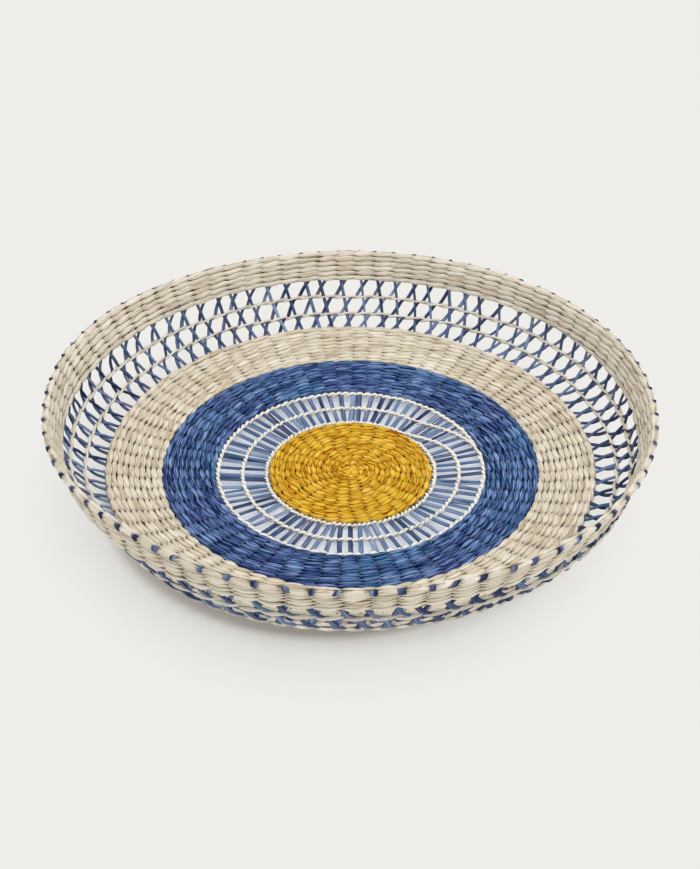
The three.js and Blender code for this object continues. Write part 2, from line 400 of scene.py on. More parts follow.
def write_fibre(piece, along, across, strand, tone, tint, crevice_shade):
    """Keeps what the fibre material reads: place along and across the strand, which strand it is,
    how light this stitch is, which way its colour leans, and how much painted shade it gets in the weave."""
    grain = piece.data.attributes.new("grain", "FLOAT_VECTOR", "POINT")
    grain.data.foreach_set("vector", np.column_stack((along, across, strand)).astype(np.float32).ravel())
    write_values(piece, "tone", tone)
    write_values(piece, "tint", tint)
    write_values(piece, "crevice_shade", crevice_shade)


def finish_piece(piece, slot, nodes):
    """Smooths a piece, gives it its material and ties it to the solids that it stands for."""
    bpy.ops.object.shade_smooth()
    piece.data.materials.append(leaf_material(slot))
    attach(piece, BODY)
    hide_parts(*nodes)


def nodes_named(start):
    """The solids whose names start with a word."""
    found = [name for name in sorted(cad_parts) if name.startswith(start)]
    if not found:
        raise RuntimeError(f"the solid model has no part whose name starts with {start}")
    return found


# How soon a strand narrows away from the middle of a stitch, and how square its section is
TAPER = 0.8
SQUARENESS = 0.28


class Twist(NamedTuple):
    """The shape of a twined pair of strands, lying straight, with places counted in stitches. Wide and
    thick are in the middle of a stitch, narrow and thin at its ends; flat is how soon it lifts."""

    stitch: float
    swing: float
    lift: float
    wide: float
    narrow: float
    thick: float
    thin: float
    flat: float

    def middle(self, place):
        """Place across and depth of the first strand; the second is turned half round."""
        facing = np.cos(np.pi * place)
        depth = self.lift * np.sign(facing) * np.abs(facing) ** self.flat
        return self.swing * np.sin(np.pi * place), depth

    def half(self, place):
        """Half the width and half the thickness of a strand."""
        showing = np.abs(np.cos(np.pi * place)) ** TAPER
        width = self.narrow + (self.wide - self.narrow) * showing
        return width / 2, (self.thin + (self.thick - self.thin) * showing) / 2


def squared(place):
    """Moves places on a round section, from -1 to 1, out to those of a flat one with soft edges."""
    return np.sign(place) * np.abs(place) ** SQUARENESS


# Places in a stitch at which its section is modelled
WEFT_STEPS = np.array((0, 0.20, 0.35, 0.45, 0.55, 0.65, 0.80))
OPEN_CORD_STEPS = np.array((0, 0.22, 0.40, 0.50, 0.60, 0.78))
LATTICE_CORD_STEPS = np.array((0, 0.12, 0.24, 0.36, 0.44, 0.50, 0.56, 0.64, 0.76, 0.88))

# Number of the core after the two strands, a dark sheet of painted shade inside the band, and its size
SHADE_CORE = 2
SHADE_CORE_HALF_DEPTH = 0.0002


def add_shade_core(pitch, stitch):
    """Models two stitches of a flat dark core inside a band: painted shade, seen only through the slits."""
    bpy.ops.mesh.select_all(action="DESELECT")
    bpy.ops.mesh.primitive_circle_add(vertices=4, radius=1, rotation=(0, math.pi / 2, 0))
    draw_straight(stitch * np.arange(3.0), pitch / 2, SHADE_CORE_HALF_DEPTH)


def straight_twine(name, twist, stitches, steps, shade_core_pitch=0):
    """Models two stitches of a twined pair and repeats them into a straight length."""
    twine = add_ring(name)
    places = np.concatenate((steps, steps + 1, [2]))
    across, depth = twist.middle(places)
    middles = np.column_stack((places * twist.stitch, across, depth))
    draw_out(middles, np.column_stack(twist.half(places)))
    bpy.ops.mesh.select_all(action="SELECT")
    bpy.ops.mesh.duplicate()
    turn_selected(math.pi, "X")
    if shade_core_pitch:
        add_shade_core(shade_core_pitch, twist.stitch)
    bpy.ops.object.mode_set(mode="OBJECT")
    in_strand = SIDES * len(places)
    write_values(twine, "strand", np.arange(len(twine.data.vertices)) // in_strand)
    repeat(twine, stitches // 2, 2 * twist.stitch, True)
    close_ends()
    return twine


def hand_variation(rng, stitches, amount):
    """A value for each stitch of each of the two strands, and a reader that eases between them."""
    kept = rng.normal(0, amount, (2, stitches + 2)).clip(-2 * amount, 2 * amount)
    knots = np.arange(stitches + 2)

    def reader(place, strand):
        return np.where(strand < 0.5, np.interp(place, knots, kept[0]), np.interp(place, knots, kept[1]))

    return reader


# How far the slits between the stitches stand open, for changed_around: less at the back, in the
# yellow middle only a little less, and in the rim more at the left side and the front
LOOSE_WEAVE = (1.15, (-0.9, 180, 0.9))
LOOSE = {
    "yellow": (1.25, (-0.35, 180, 0.9)),
    "rim": (0.15, (0.70, 262, 0.65), (0.85, 0, 0.8)),
}

# Where two strands cross, as a share of a stitch, and how far a tight slit closes there
CROSSING_REACH = 0.13
CLOSING = 0.55

# Painted shade on a stitch: along its edges, there at a crossing, there in an open slit, and between the
# edges
EDGE_CREVICE_SHADE, CROSSING_CREVICE_SHADE, SLIT_CREVICE_SHADE, FACE_CREVICE_SHADE = 0.22, 0.15, 0.63, 0.20


def rim_hang(distance, angle):
    """How far the rim's stitches rise between the stakes at the front, in metres:
    they hang, but those of the top edge arch."""
    climbed = (distance - band_start("rim")) / band_length("rim")
    return np.interp(climbed, (0, 0.65, 1), (-0.0009, -0.0009, 0.0004)) * bump(angle, 0, 1.1)


def rim_painted_light(place):
    """How much lighter the rim's stitches are painted: painted light over the whole steep wall, and lighter
    still in its first and last round.
    """
    weave = bpy.context.scene.basket_weave
    turn = place / weave.rim_stitches
    everywhere, at_edge = 1.6, 1.4
    return everywhere + at_edge * (turn < 1.1) + at_edge * (turn > weave.rim_rounds - 0.9)


def lay_twine(
    twine, twist, stitches, route, seed, unevenness, loose=LOOSE_WEAVE, painted_light=None, hang=None
):
    """Bends a straight length of twine along its route on the bowl, as unevenly as a hand does it."""
    rng = np.random.default_rng(seed)
    # Spread of the width, the place across, the depth and the tilt of a stitch
    spreads = (0.06, 0.07 * twist.wide, 0.00007, 0.05)
    wider, sideways, deeper, tilted = (hand_variation(rng, stitches, each * unevenness) for each in spreads)
    early = rng.normal(0, 0.07 * unevenness, stitches + 2).clip(-0.16, 0.16)
    tones, tints = (rng.normal(0, 1, (2, stitches + 2)).clip(-2, 2) for _ in range(2))
    slits = rng.normal(0, 0.22, stitches + 2)

    points = read_points(twine)
    strand = read_values(twine, "strand")
    place = points[:, 0] / twist.stitch
    shade_core = strand > SHADE_CORE - 0.5
    strand = np.minimum(strand, 1)
    side = np.where(shade_core, 0.0, np.where(strand < 0.5, 1.0, -1.0))
    middle, level = twist.middle(place)
    half_width, half_depth = twist.half(place)
    half_width = np.where(shade_core, np.abs(points[shade_core, 1]).max(initial=0), half_width)
    half_depth = np.where(shade_core, SHADE_CORE_HALF_DEPTH, half_depth)
    across = squared((points[:, 1] - side * middle) / half_width)
    through = squared((points[:, 2] - side * level) / half_depth)
    lifted = side * level + half_depth * through

    moved = place + np.interp(place, np.arange(stitches + 2), early)
    angle, distance, share = route(moved)
    crossing = np.exp(-(((place % 1 - 0.5) / CROSSING_REACH) ** 2))
    opened = np.clip(changed_around(angle, *loose) + slits[np.floor(place).astype(int)], 0, 1)
    closed = np.where(shade_core, 0.0, CLOSING * (1 - opened) * crossing)
    aside = side * middle + half_width * across * (1 + closed)
    distance = distance + aside * share * (1 + wider(place, strand)) + sideways(place, strand) * share
    if hang:
        distance = distance + hang(distance, angle) * np.cos(TURN * place)
    tilt = tilted(place, strand) * across * half_width
    depth = (lifted + tilt) * np.clip(share * 1.6, 0, 1) + deeper(place, strand)
    write_points(twine, on_bowl(angle, distance, depth))

    # Painted shade in the crevices: along the strands' edges, where they cross and in open slits
    at_edge = np.abs(across) > 0.9
    edge_crevice_shade = EDGE_CREVICE_SHADE + (CROSSING_CREVICE_SHADE + SLIT_CREVICE_SHADE * opened) * crossing
    crevice_shade = np.where(at_edge, edge_crevice_shade, FACE_CREVICE_SHADE * opened * crossing)
    # The core is painted fully in shade
    crevice_shade = np.where(shade_core, 1.0, crevice_shade)
    nearest = np.rint(place).astype(int).clip(0, stitches + 1)
    tone = tones[strand.astype(int), nearest]
    # Painted light on the rim's stitches
    if painted_light:
        tone = tone + painted_light(moved)
    tint = tints[strand.astype(int), nearest]
    write_fibre(twine, place * twist.stitch, across * twist.wide / 2, seed + strand * 0.5, tone, tint, crevice_shade)


def round_route(start, length, rounds, turns_at, step, slot):
    """The route of a weft: level rounds that each step out to the next over a short part of a turn.
    A slot can be left open between the first round and the others."""
    pitch = length / rounds
    edges = np.linspace(slot, length, rounds + 1)
    low_edges = np.concatenate(([0, 0], edges[1:]))
    high_edges = np.concatenate(([0, edges[1] - slot], edges[2:], [length]))
    count = np.arange(-1, rounds + 1)
    narrowest = 0.05

    def route(place):
        turn = turns_at(place)
        whole = np.floor(turn)
        reached = whole + ease((turn - whole - (1 - step)) / step)
        low = np.interp(reached, count, low_edges)
        high = np.interp(reached, count, high_edges)
        share = np.clip((high - low) / pitch, narrowest, 1)
        return STEP_ANGLE - TURN * turn, start + (low + high) / 2, share

    return route


def even_turns(stitches_per_round, step):
    """Turns at a count of stitches, where each round has the same number."""
    return lambda place: place / stitches_per_round - step


# Stakes added to the yellow middle as it grows: reach from which on, and share of the full count
STAKES_ADDED = ((0.0, 0.32), (0.014, 0.41), (0.020, 0.56), (0.031, 0.73), (0.043, 0.94), (0.050, 1.0))
TURN_SAMPLES = 2000


def widening_turns(start, length, rounds, most, step):
    """Turns at a count of stitches, where the rounds near the centre have fewer, and the whole count."""
    from_reach, share = np.array(STAKES_ADDED).T
    turns = np.linspace(-step, rounds, TURN_SAMPLES)
    reach = start + length * np.clip(turns / rounds, 0, 1)
    per_round = np.rint(most * share[np.searchsorted(from_reach, reach, side="right") - 1])
    counted = np.concatenate(([0], np.cumsum((per_round[1:] + per_round[:-1]) / 2 * np.diff(turns))))
    whole = 2 * math.ceil(counted[-1] / 2)
    return (lambda place: np.interp(place, counted, turns)), whole


# The stitches of each band: how far they slant, their width in the middle and at the ends and the
# width of the core behind them, all as shares of a round's width, and how far they lift in metres
STITCHES = {
    "yellow": (0.18, 1.01, 0.16, 1.22, 0.0005),
    "blue": (0.15, 0.93, 0.28, 1.02, 0.0006),
    "natural": (0.15, 1.03, 0.28, 1.02, 0.0004),
    "rim": (0.15, 1.03, 0.20, 1.02, 0.0005),
}
FIRST_BAND_SEED = 11

# Over how many stitches a round steps out to the next; in the yellow middle, over which part of a turn,
# and how long a stitch is there
STEP_STITCHES = 8
YELLOW_STEP, YELLOW_STITCH = 0.1, 0.009

# The slot above the first round of the rim, and the share of it that the core covers
RIM_SLOT, SLOT_COVERED = 0.0004, 0.75


def twine_band(band, seed):
    """Twines one of the full bands and returns it."""
    weave = bpy.context.scene.basket_weave
    rounds = getattr(weave, f"{band}_rounds")
    per_round = getattr(weave, f"{band}_stitches")
    start, length = band_start(band), band_length(band)
    if band == "yellow":
        start, length = CENTRE_RADIUS, length - CENTRE_RADIUS
        step = YELLOW_STEP
        turns_at, stitches = widening_turns(start, length, rounds, per_round, step)
        stitch = YELLOW_STITCH
    else:
        step = STEP_STITCHES / per_round
        turns_at = even_turns(per_round, step)
        stitches = per_round * rounds + STEP_STITCHES
        stitch = TURN * profile(np.array([start + length / 2]))[0][0] / per_round
    thickness, slot, own = weave.weave_thickness, 0.0, {}
    if band == "rim":
        thickness, slot, own = weave.rim_thickness, RIM_SLOT, {"painted_light": rim_painted_light, "hang": rim_hang}
    pitch = length / rounds
    slant, wide, narrow, shade_core, lift = STITCHES[band]
    thick = thickness - 2 * lift
    twist = Twist(
        stitch=stitch, swing=slant * pitch, lift=lift, wide=wide * pitch, narrow=narrow * pitch,
        thick=thick, thin=0.95 * thick, flat=0.3,
    )
    shade_core_pitch = shade_core * pitch + SLOT_COVERED * slot
    twine = straight_twine(f"{band}_twining", twist, stitches, WEFT_STEPS, shade_core_pitch)
    route = round_route(start, length, rounds, turns_at, step, slot)
    loose = LOOSE.get(band, LOOSE_WEAVE)
    lay_twine(twine, twist, stitches, route, seed, weave.unevenness, loose, **own)
    return twine


class BASKET_OT_twine_bands(Operator):
    """Twine the yellow, blue and natural bands and the rim, round by round"""

    bl_idname = "basket.twine_bands"
    bl_label = "Twine Bands"

    def execute(self, context):
        for seed, band in enumerate(STITCHES, FIRST_BAND_SEED):
            slot = "natural_seagrass" if band == "rim" else f"{band}_seagrass"
            finish_piece(twine_band(band, seed), slot, [f"{band}_weft"])
        return {"FINISHED"}


# Rows of the lattice, and how far each cord between them is raised at the front
LATTICE_ROWS = 3
FRONT_RAISE = {1: 0.0030, 2: 0.0072}

# The cream cord: how far its rings lie from the bands, and the first one more, the part of a turn in
# which it steps out, how far before the first ring it starts, its stitches to each strip, and how much
# less even it is than the bands
OPEN_RING_INSET, FIRST_RING_INSET = 0.0017, 0.0005
OPEN_STEP, OPEN_LEAD = 0.12, 0.09
CORD_STITCHES = 1.5
OPEN_UNEVENNESS = 1.7

# All cords: the width of a stitch at its ends, and how soon its strands lift
CORD_END_WIDTH, CORD_FLATNESS = 0.0015, 0.7
LATTICE_CORD_THICKNESS = 0.0017
OPEN_CORD_SEED, LATTICE_CORD_SEED = 21, 30


def lattice_cord_distance(row, angle):
    """Distance from the centre of the cord above a row, which wanders, or of the edge of the lattice."""
    level = band_start("lattice") + band_length("lattice") * row / LATTICE_ROWS
    if row in (0, LATTICE_ROWS):
        return level + 0 * angle
    raised = FRONT_RAISE[row] * bump(angle, 0, 0.9)
    phase = 1.7 * row
    wander = waves(angle, (0.55, 5, phase), (0.35, 11, 2.3 * phase), (0.30, 19, 4.1 * phase))
    return level + raised + bpy.context.scene.basket_weave.lattice_cord_wander * wander


def rows_climbed(distance, angle):
    """How many rows of the lattice lie below a place on the wall, counted from cord to cord."""
    cords = [lattice_cord_distance(row, angle) for row in range(LATTICE_ROWS + 1)]
    climbed = (distance - cords[0]) / (cords[1] - cords[0])
    for row in range(1, LATTICE_ROWS):
        above = row + (distance - cords[row]) / (cords[row + 1] - cords[row])
        climbed = np.where(distance > cords[row], above, climbed)
    return climbed


class BASKET_OT_twine_cords(Operator):
    """Twine the cream cord through the open band and the two natural cords through the lattice"""

    bl_idname = "basket.twine_cords"
    bl_label = "Twine Cords"

    def execute(self, context):
        self.twine_open_cord(context)
        self.twine_lattice_cord(context, 1, "lattice_cord_first", nodes_named("lattice_cord_lower"))
        self.twine_lattice_cord(context, 2, "lattice_cord_second", nodes_named("lattice_cord_upper"))
        return {"FINISHED"}

    def twine_open_cord(self, context):
        """One cord that goes round three times and steps out twice."""
        weave = context.scene.basket_weave
        stakes = context.scene.basket_stakes
        start, end = band_start("open"), band_end("open")
        first = start + OPEN_RING_INSET + FIRST_RING_INSET
        rings = np.array((first, (start + end) / 2, end - OPEN_RING_INSET))
        per_round = int(CORD_STITCHES * stakes.open_count)
        stitches = 2 * int(per_round * (len(rings) - 0.01 + OPEN_LEAD) / 2)
        thick = weave.cord_thickness
        twist = Twist(
            stitch=0.0043, swing=0.0006, lift=stakes.open_thickness / 2 + thick / 2,
            wide=weave.cord_width, narrow=CORD_END_WIDTH, thick=thick, thin=thick, flat=CORD_FLATNESS,
        )
        twine = straight_twine("open_band_cord", twist, stitches, OPEN_CORD_STEPS)
        end_length, end_tuck = 0.03, 0.0026

        def route(place):
            gone = place / per_round - OPEN_LEAD
            turn = np.clip(gone, 0, len(rings) - 0.001)
            ring = np.floor(turn).astype(int)
            over = ease((turn - ring - (1 - OPEN_STEP)) / OPEN_STEP)
            outer = np.minimum(ring + 1, len(rings) - 1)
            distance = rings[ring] + (rings[outer] - rings[ring]) * over
            tucked = end_tuck * ease((end_length - OPEN_LEAD - gone) / end_length)
            return STEP_ANGLE - TURN * gone, distance - tucked, np.ones_like(place)

        lay_twine(twine, twist, stitches, route, OPEN_CORD_SEED, OPEN_UNEVENNESS * weave.unevenness)
        finish_piece(twine, "cream_cord", nodes_named("open_cord"))

    def twine_lattice_cord(self, context, row, name, nodes):
        """A closed ring of twine, one stitch for each strip."""
        weave = context.scene.basket_weave
        stakes = context.scene.basket_stakes
        stitches = stakes.lattice_count
        thick = LATTICE_CORD_THICKNESS
        twist = Twist(
            stitch=0.0146, swing=0.0007, lift=stakes.lattice_thickness / 2 + 0.25 * thick,
            wide=weave.lattice_cord_width, narrow=CORD_END_WIDTH, thick=thick, thin=0.9 * thick,
            flat=CORD_FLATNESS,
        )
        twine = straight_twine(name, twist, stitches, LATTICE_CORD_STEPS)

        def route(place):
            angle = STEP_ANGLE - TURN * place / stitches
            return angle, lattice_cord_distance(row, angle), np.ones_like(place)

        lay_twine(twine, twist, stitches, route, LATTICE_CORD_SEED + row, weave.unevenness)
        finish_piece(twine, "natural_cord", nodes)


TABLE_SPACING = 0.02

# Steps along each kind of strip, how far its ends reach into the bands beside it, where its fibres
# start in the noise, and how far apart those of two strips lie
OPEN_STEPS, LATTICE_STEPS, TIP_STEPS, CENTRE_STEPS = 8, 44, 9, 10
OPEN_TUCK_IN, LATTICE_TUCK_IN = 0.003, 0.0045
OPEN_FIBRE, LATTICE_FIBRE, TIP_FIBRE, CENTRE_FIBRE = 40, 60, 80, 90
FIBRE_APART = 0.37


def straight_strips(name, count, width, thickness, length, steps):
    """Models one flat strip along Y and lays out copies side by side on the table. Returns them, and
    for each of their points: which strip, place across, place along and depth."""
    strips = add_ring(name)
    flat = 1 / math.cos(math.pi / SIDES)
    draw_straight(np.linspace(0, length, steps + 1), flat * width / 2, flat * thickness / 2)
    bpy.ops.mesh.select_all(action="SELECT")
    turn_selected(-math.pi / 2, "Z")
    bpy.ops.object.mode_set(mode="OBJECT")
    close_ends()
    repeat(strips, count, TABLE_SPACING, False)
    x, along, depth = read_points(strips).T
    number = np.rint(x / TABLE_SPACING).astype(int)
    return strips, number, x - number * TABLE_SPACING, along, depth


def edge_shade(across, width):
    """Shade along the two edges of a strip."""
    return 0.4 * np.clip(np.abs(across) / (width / 2), 0, 1) ** 4


class BASKET_OT_open_stakes(Operator):
    """Stand the flat blue strips in the open band, between the yellow middle and the blue band"""

    bl_idname = "basket.open_stakes"
    bl_label = "Open Band Stakes"

    def execute(self, context):
        stakes = context.scene.basket_stakes
        rng = np.random.default_rng(41)
        singles, strip_width = stakes.open_count, stakes.open_width
        # One strip in five has a narrow one beside it
        doubles = singles // 5
        count = singles + doubles
        length = band_length("open") + 2 * OPEN_TUCK_IN
        strips, number, across, along, depth = straight_strips(
            "open_band_stakes", count, strip_width, stakes.open_thickness, length, OPEN_STEPS
        )

        share = TURN / singles
        placed = STEP_ANGLE - share * np.arange(singles) + rng.normal(0, 0.06 * share, singles)
        beside = rng.choice(singles, doubles, replace=False)
        placed = np.concatenate((placed, placed[beside] + share * rng.choice((-0.42, 0.42), doubles)))
        width = rng.uniform(0.85, 1.15, count)
        width[singles:] = rng.uniform(0.4, 0.6, doubles)
        # Spread of the lean, the bow, the curl and the depth of a strip, in metres
        spreads = (0.0010, 0.0004, 0.0003, 0.00012)
        lean, bow, cup, sink = (rng.normal(0, each, count)[number] for each in spreads)
        middle = along / length - 0.5
        distance = band_start("open") - OPEN_TUCK_IN + along
        reach, _, _ = profile(distance)
        sideways = across * width[number] + lean * middle * 2 + bow * (1 - 4 * middle**2)
        curl = cup * (across / (strip_width / 2)) ** 2
        angle = placed[number] - sideways / reach
        write_points(strips, on_bowl(angle, distance, depth + curl + sink))
        tone = rng.normal(0, 1, count).clip(-1.8, 1.8)[number]
        tint = rng.normal(0, 1, count).clip(-2, 2)[number]
        strand = OPEN_FIBRE + number * FIBRE_APART
        write_fibre(strips, along, across, strand, tone, tint, edge_shade(across, strip_width))
        finish_piece(strips, "blue_stakes", nodes_named("open_stakes"))
        return {"FINISHED"}


# The lattice's strips, for changed_around: painted shade that makes them darker at both sides, and wider at
# the front
STRIP_SHADES = ((-1.9, 65, 0.65), (-0.6, 245, 0.6))
STRIP_WIDTHS = (0.4, 0, 0.9)

# How far an outside strip bends back at a cord, in strips, and the part of a row that the cord holds
CORD_BEND = 0.24
CORD_HOLDS = 0.1
LAYER_GAP = 0.00008


def cord_bend(climbed):
    """How far an outside strip is ahead of a straight line, in strips: it bends back inside the cords."""
    inside = np.clip(climbed, 0, LATTICE_ROWS - 0.0001)
    straight = inside - np.floor(inside) - 0.5
    cord = np.clip(np.rint(climbed), 1, LATTICE_ROWS - 1)
    bent = (cord - climbed) / CORD_HOLDS * (0.5 - CORD_HOLDS)
    return CORD_BEND * np.where(np.abs(climbed - cord) < CORD_HOLDS, bent, straight)


def strips_ahead(angle):
    """How far the foot of an outside strip is ahead of the inside one, in strips."""
    level = 0.55 + 0.06 * np.cos(angle - math.radians(265))
    return changed_around(angle, level, (-0.12, 238, 0.45))


class BASKET_OT_lattice_stakes(Operator):
    """Cross the thin blue strips in three rows between the natural band and the rim"""

    bl_idname = "basket.lattice_stakes"
    bl_label = "Lattice Stakes"

    def execute(self, context):
        stakes = context.scene.basket_stakes
        rng = np.random.default_rng(51)
        each, strip_width, thickness = stakes.lattice_count, stakes.lattice_width, stakes.lattice_thickness
        count = 2 * each
        tall = band_length("lattice")
        length = tall + 2 * LATTICE_TUCK_IN
        strips, number, across, along, depth = straight_strips(
            "lattice_strips", count, strip_width, thickness, length, LATTICE_STEPS
        )

        outside = number >= each
        share = TURN / each
        distance = band_start("lattice") - LATTICE_TUCK_IN + along
        lean = np.where(outside, -stakes.outside_lean, stakes.inside_lean)
        ahead = strips_ahead(share * (number % each))
        foot = number % each + np.where(outside, ahead, 0.0) + rng.normal(0, 0.05, count)[number]
        evenly = LATTICE_ROWS * (along - LATTICE_TUCK_IN) / tall
        climbed = rows_climbed(distance, share * (foot + lean * evenly))
        strayed = rng.normal(0, 0.025, count)[number] * climbed
        strayed = strayed - 0.12 * climbed * bump(share * foot, math.radians(120), 0.8)
        level = share * (foot + lean * climbed + strayed + np.where(outside, cord_bend(climbed), 0.0))
        drift = waves(level, (0.55, 3, 0.6), (0.45, 7, 2.0))
        reach, _, _ = profile(distance)
        run = lean * share * reach * LATTICE_ROWS / tall
        width = rng.uniform(0.8, 1.15, count)[number] * changed_around(level, 1, STRIP_WIDTHS)
        aside = across * width * np.hypot(1, run)
        angle = level + share * stakes.lattice_drift * drift * climbed - aside / reach
        apart = thickness / 2 + LAYER_GAP
        in_rows = np.abs(climbed - LATTICE_ROWS / 2) < LATTICE_ROWS / 2
        layer = np.where(outside, -apart, apart) * np.sin(np.pi * climbed) ** 2 * in_rows
        write_points(strips, on_bowl(angle, distance, depth + layer))
        tone = rng.normal(-0.1, 0.8, count).clip(-4, 1.6)[number]
        tint = rng.normal(-0.2, 0.8, count).clip(-2, 2)[number]
        # Painted shade: the strips darker at both sides of the basket
        shade = changed_around(level, tone, *STRIP_SHADES)
        strand = LATTICE_FIBRE + number * FIBRE_APART
        write_fibre(strips, along, across, strand, shade, tint, edge_shade(across, strip_width))
        finish_piece(strips, "blue_stakes", nodes_named("lattice_stakes"))
        return {"FINISHED"}


# A tip over the rim: its length, and how far its way over the edge goes up and to the inside
TIP_LENGTH = 0.0095
TIP_RISE = (-0.0030, -0.0016, -0.0002, 0.0006, 0.0004, -0.0010, -0.0027)
TIP_INWARD = (0.0000, 0.0001, -0.0001, -0.0008, -0.0016, -0.0020, -0.0021)
TIP_SINK = 0.0004


class BASKET_OT_rim_tips(Operator):
    """Fold the ends of the blue strips over the top edge of the rim"""

    bl_idname = "basket.rim_tips"
    bl_label = "Rim Tips"

    def execute(self, context):
        stakes = context.scene.basket_stakes
        rng = np.random.default_rng(71)
        count = stakes.lattice_count
        tips, number, across, along, depth = straight_strips(
            "rim_tips", count, stakes.tip_width, stakes.tip_thickness, TIP_LENGTH, TIP_STEPS
        )

        share = TURN / count
        placed = STEP_ANGLE - share * (np.arange(count) + 0.5) + rng.normal(0, 0.05 * share, count)
        height = rng.normal(1, 0.12, count)[number]
        lean = rng.normal(0.0014, 0.0013, count)[number]
        front = bump(placed, 0, 0.8)[number]
        width = rng.uniform(0.75, 1.2, count)[number] * (0.72 + 0.38 * front)
        knots = np.linspace(0, TIP_LENGTH, len(TIP_RISE))
        ahead, behind = along + 0.0002, along - 0.0002
        slope_rise = np.interp(ahead, knots, TIP_RISE) - np.interp(behind, knots, TIP_RISE)
        slope_in = np.interp(ahead, knots, TIP_INWARD) - np.interp(behind, knots, TIP_INWARD)
        run = np.hypot(slope_rise, slope_in)
        top = band_end("rim") - TIP_SINK * (1 - front)
        distance = top + np.interp(along, knots, TIP_RISE) * height - depth * slope_in / run
        inside = np.interp(along, knots, TIP_INWARD) + depth * slope_rise / run
        reach, _, _ = profile(distance)
        angle = placed[number] - (across * width + lean * along / TIP_LENGTH) / reach
        write_points(tips, on_bowl(angle, distance, inside))
        tone = rng.normal(-0.7, 1.2, count).clip(-3, 1.4)[number]
        tint = rng.uniform(-1.8, 0.6, count)[number]
        lit_and_shaded_side = rng.choice((-1.0, 1.0), count) * rng.uniform(0.5, 3.5, count)
        # Painted highlight on one side of each tip, painted shade on the other, and painted shade on the
        # tips away from the front
        shade = tone + lit_and_shaded_side[number] * across / (stakes.tip_width / 2) - 1.3 * (1 - front)
        strand = TIP_FIBRE + number * FIBRE_APART
        write_fibre(tips, along, across, strand, shade, tint - 1 + front, 0 * along)
        finish_piece(tips, "blue_stakes", ["rim_stake_ends"])
        return {"FINISHED"}


# The crossed strips of the centre: how many, their size, how high the lowest lies, how far each lies
# above the one before, and how far their ends bend down
CENTRE_COUNT = 5
CENTRE_WIDTH, CENTRE_THICKNESS, CENTRE_LENGTH = 0.0037, 0.0012, 0.0155
CENTRE_LOWEST, CENTRE_APART, CENTRE_BEND = 0.0010, 0.0002, 0.0030


class BASKET_OT_centre(Operator):
    """Cross the short yellow strips from which the first round starts"""

    bl_idname = "basket.centre"
    bl_label = "Centre Start"

    def execute(self, context):
        rng = np.random.default_rng(81)
        strips, number, across, along, depth = straight_strips(
            "centre_strips", CENTRE_COUNT, CENTRE_WIDTH, CENTRE_THICKNESS, CENTRE_LENGTH, CENTRE_STEPS
        )

        order = np.arange(CENTRE_COUNT)
        turn = (math.pi * order / CENTRE_COUNT + rng.normal(0, 0.08, CENTRE_COUNT))[number]
        middle = along - CENTRE_LENGTH / 2
        bend = (middle / (CENTRE_LENGTH / 2)) ** 2
        level = CENTRE_LOWEST + CENTRE_APART * order[number]
        height = MIDDLE_HEIGHT + level - CENTRE_BEND * bend * bend + depth
        aside = across + rng.normal(0, 0.0005, CENTRE_COUNT)[number]
        x = middle * np.sin(turn) - aside * np.cos(turn)
        y = -middle * np.cos(turn) - aside * np.sin(turn)
        write_points(strips, np.column_stack((x, y, np.maximum(height, FLOOR_CLEARANCE))))
        tone = rng.normal(0, 0.8, CENTRE_COUNT)[number]
        strand = CENTRE_FIBRE + number * FIBRE_APART
        write_fibre(strips, along, across, strand, tone, 0 * along + 1, 0 * along)
        finish_piece(strips, "yellow_seagrass", ["centre_start"])
        return {"FINISHED"}


def feed(tree, sockets, values):
    """Gives input sockets plain values, or joins output sockets to them."""
    for name, value in dict(values).items():
        if isinstance(value, bpy.types.NodeSocket):
            tree.links.new(value, sockets[name])
        else:
            sockets[name].default_value = value


def add_node(tree, kind, inputs=(), **settings):
    """A shader node with its settings made and its inputs fed."""
    node = tree.nodes.new("ShaderNode" + kind)
    for name, value in settings.items():
        setattr(node, name, value)
    feed(tree, node.inputs, inputs)
    return node


def number_node(tree, operation, *values):
    """A Math node whose inputs are plain numbers or other sockets."""
    return add_node(tree, "Math", enumerate(values), operation=operation).outputs[0]


def times(tree, first, second):
    """The product of two numbers."""
    return number_node(tree, "MULTIPLY", first, second)


def plus(tree, first, second):
    """The sum of two numbers."""
    return number_node(tree, "ADD", first, second)


def limited(tree, value):
    """A number kept from 0 to 1."""
    return number_node(tree, "MINIMUM", number_node(tree, "MAXIMUM", value, 0.0), 1.0)


def both_ways(tree, noise, amount):
    """A noise pattern made to go as far down as up, by some amount."""
    return times(tree, number_node(tree, "SUBTRACT", noise, 0.5), amount)


def vector_node(tree, operation, first, second):
    """The outputs of a Vector Math node."""
    return add_node(tree, "VectorMath", {0: first, 1: second}, operation=operation).outputs


def noise_node(tree, vector, stretch, detail, roughness):
    """A noise pattern on a stretched vector."""
    stretched = vector_node(tree, "MULTIPLY", vector, stretch)["Vector"]
    inputs = {"Vector": stretched, "Scale": 1.0, "Detail": detail, "Roughness": roughness}
    return add_node(tree, "TexNoise", inputs).outputs["Fac"]


# Places of the colour sockets among the inputs and outputs of a Mix node
MIX_FIRST, MIX_SECOND, MIX_RESULT = 6, 7, 2


def mix_colours(tree, share, first, second):
    """A Mix node for colours."""
    inputs = {0: share, MIX_FIRST: first, MIX_SECOND: second}
    return add_node(tree, "Mix", inputs, data_type="RGBA").outputs[MIX_RESULT]


def mix_shaders(tree, share, first, second, output):
    """Mixes the shaders of two nodes and joins the result to an output node."""
    mix = add_node(tree, "MixShader", {0: share, 1: first.outputs[0], 2: second.outputs[0]})
    feed(tree, tree.nodes[output].inputs, {"Surface": mix.outputs[0]})


